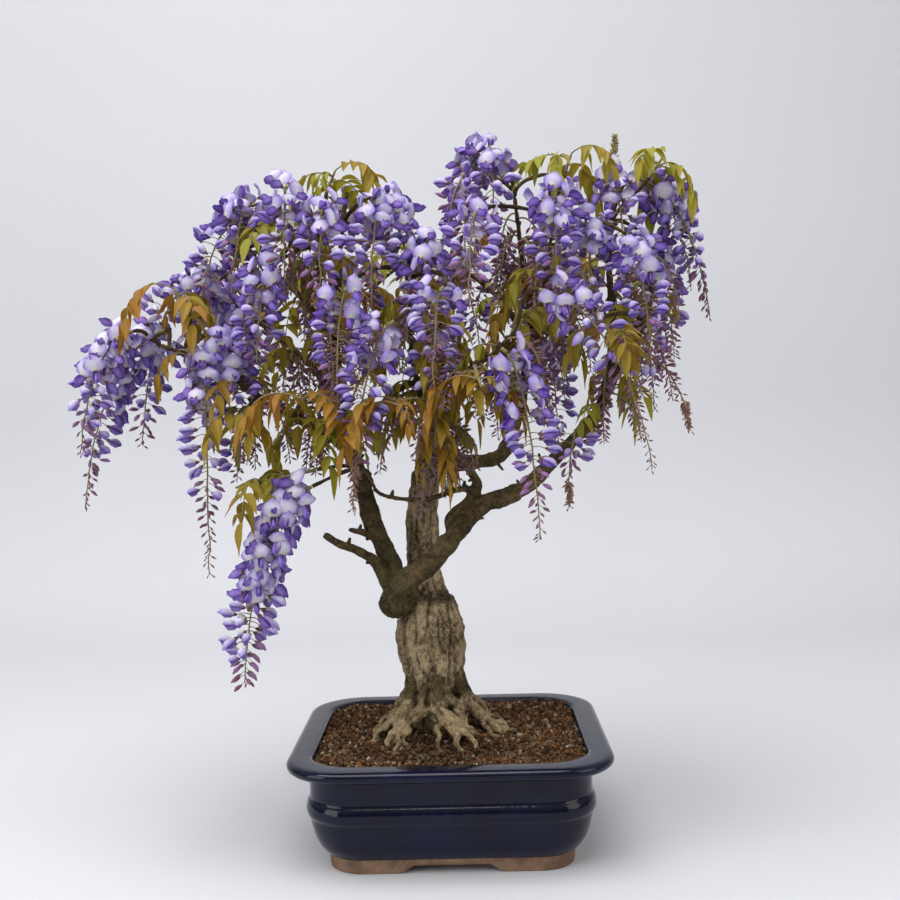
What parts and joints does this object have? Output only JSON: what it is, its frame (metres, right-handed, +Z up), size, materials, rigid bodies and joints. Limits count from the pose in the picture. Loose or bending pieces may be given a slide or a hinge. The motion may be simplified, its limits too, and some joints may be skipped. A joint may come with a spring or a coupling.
{
  "type": "wisteria bonsai",
  "caption": "Wisteria bonsai in flower: a fissured trunk with winding boughs, hanging violet racemes and pinnate leaves, in a rounded glazed pot with an unglazed foot.",
  "frame": {"origin": "centre of the whole object's footprint, at table level under the pot's foot", "axes": "+Z up along the trunk, front towards -Y, right side towards +X; the depth along Y is the shortest extent"},
  "size_m": [0.6886, 0.3488, 0.7497],
  "materials": {
    "glaze": "dark navy gloss glaze on stoneware, bare brown clay at the foot",
    "net": "black moulded plastic net",
    "earth": "loose matte granules of fired clay and pumice",
    "bark": "matte grey-tan bark with dark fissures",
    "petal": "soft matte petals, lilac to violet",
    "leaf": "satin young leaves, bronze to yellow-green"
  },
  "bodies": {
    "root": {"pot": "glaze", "drain_net_left": "net", "drain_net_right": "net", "soil": "earth", "tree": "bark", "leafy_shoot_01": "leaf", "leafy_shoot_02": "leaf", "leafy_shoot_03": "leaf", "leafy_shoot_04": "leaf", "leafy_shoot_05": "leaf", "leafy_shoot_06": "leaf", "leafy_shoot_07": "leaf", "leafy_shoot_08": "leaf", "leafy_shoot_09": "leaf", "leafy_shoot_10": "leaf", "leafy_shoot_11": "leaf", "leafy_shoot_12": "leaf", "leafy_shoot_13": "leaf", "leafy_shoot_14": "leaf", "racemes_01": "petal", "racemes_02": "petal", "racemes_03": "petal", "racemes_04": "petal", "racemes_05": "petal", "racemes_06": "petal", "racemes_07": "petal", "racemes_08": "petal", "racemes_09": "petal", "racemes_10": "petal", "racemes_11": "petal", "racemes_12": "petal", "racemes_13": "petal", "racemes_14": "petal", "racemes_15": "petal", "racemes_16": "petal", "racemes_17": "petal", "racemes_18": "petal", "racemes_19": "petal", "racemes_20": "petal", "racemes_21": "petal", "racemes_22": "petal", "racemes_23": "petal", "racemes_24": "petal", "racemes_25": "petal", "racemes_26": "petal", "racemes_27": "petal", "racemes_28": "petal", "racemes_29": "petal", "racemes_30": "petal", "racemes_31": "petal", "racemes_32": "petal", "racemes_33": "petal", "racemes_34": "petal", "racemes_35": "petal", "racemes_36": "petal", "racemes_37": "petal", "racemes_38": "petal", "racemes_39": "petal"}
  },
  "joints": []
}
